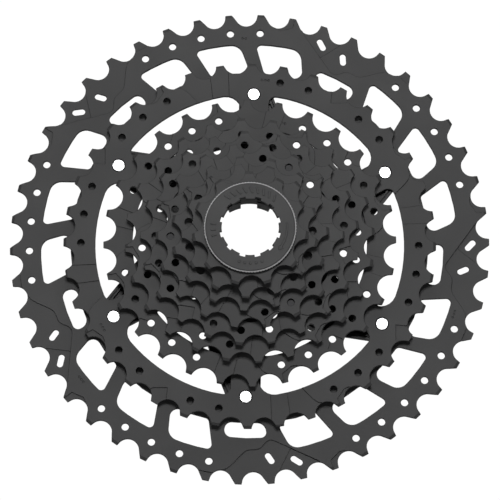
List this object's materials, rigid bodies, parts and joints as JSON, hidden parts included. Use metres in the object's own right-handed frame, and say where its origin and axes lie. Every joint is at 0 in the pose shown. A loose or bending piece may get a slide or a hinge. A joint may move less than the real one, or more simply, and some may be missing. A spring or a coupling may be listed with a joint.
{
  "type": "bicycle cassette",
  "caption": "Stepped stack of black toothed sprockets on a lobed carrier, with spacers, rivets and a notched lockring, splined through the middle for a freehub.",
  "frame": {"origin": "on the hub axle's axis, in the plane of the inboard face, where the carrier seats on the freehub shoulder", "axes": "+Z along the axle, outboard, from the largest sprocket to the lockring; +X and +Y across it, with carrier arms at 30, 90, 150, 210, 270 and 330 degrees from +X"},
  "size_m": [0.1888, 0.1888, 0.0391],
  "materials": {
    "sprocket_finish": "matte black coated steel",
    "spacer": "black glass-filled nylon",
    "carrier": "black anodised alloy",
    "rivet": "bright plated",
    "washer": "plain spring steel",
    "lockring": "matte black coated alloy"
  },
  "bodies": {
    "cassette": {"sprocket_46t": "sprocket_finish", "sprocket_36t": "sprocket_finish", "sprocket_28t": "sprocket_finish", "sprocket_24t": "sprocket_finish", "sprocket_21t": "sprocket_finish", "sprocket_18t": "sprocket_finish", "sprocket_15t": "sprocket_finish", "sprocket_13t": "sprocket_finish", "sprocket_11t": "sprocket_finish", "carrier": "carrier", "carrier_rivets": "rivet", "ring_rivets": "rivet", "spacer_28_24": "spacer", "spacer_24_21": "spacer", "spacer_21_18": "spacer", "cluster_pins": "rivet", "spacer_18_15": "spacer", "spacer_15_13": "spacer"},
    "washer": {"lock_washer": "washer"},
    "lockring": {"lockring": "lockring"}
  },
  "joints": [
    {"name": "lockring_lift", "type": "slide", "parent": "cassette", "child": "washer", "axis": [0, 0, 1], "range_m": [0, 0.00424]},
    {"name": "lockring_turn", "type": "hinge", "parent": "washer", "child": "lockring", "pos_m": [0, 0, 0.038], "axis": [0, 0, 1], "range_deg": [0, 1440]}
  ],
  "couplings": [
    {"joint": "lockring_lift", "follows": "lockring_turn", "m_per_rad": 0.00016839}
  ]
}
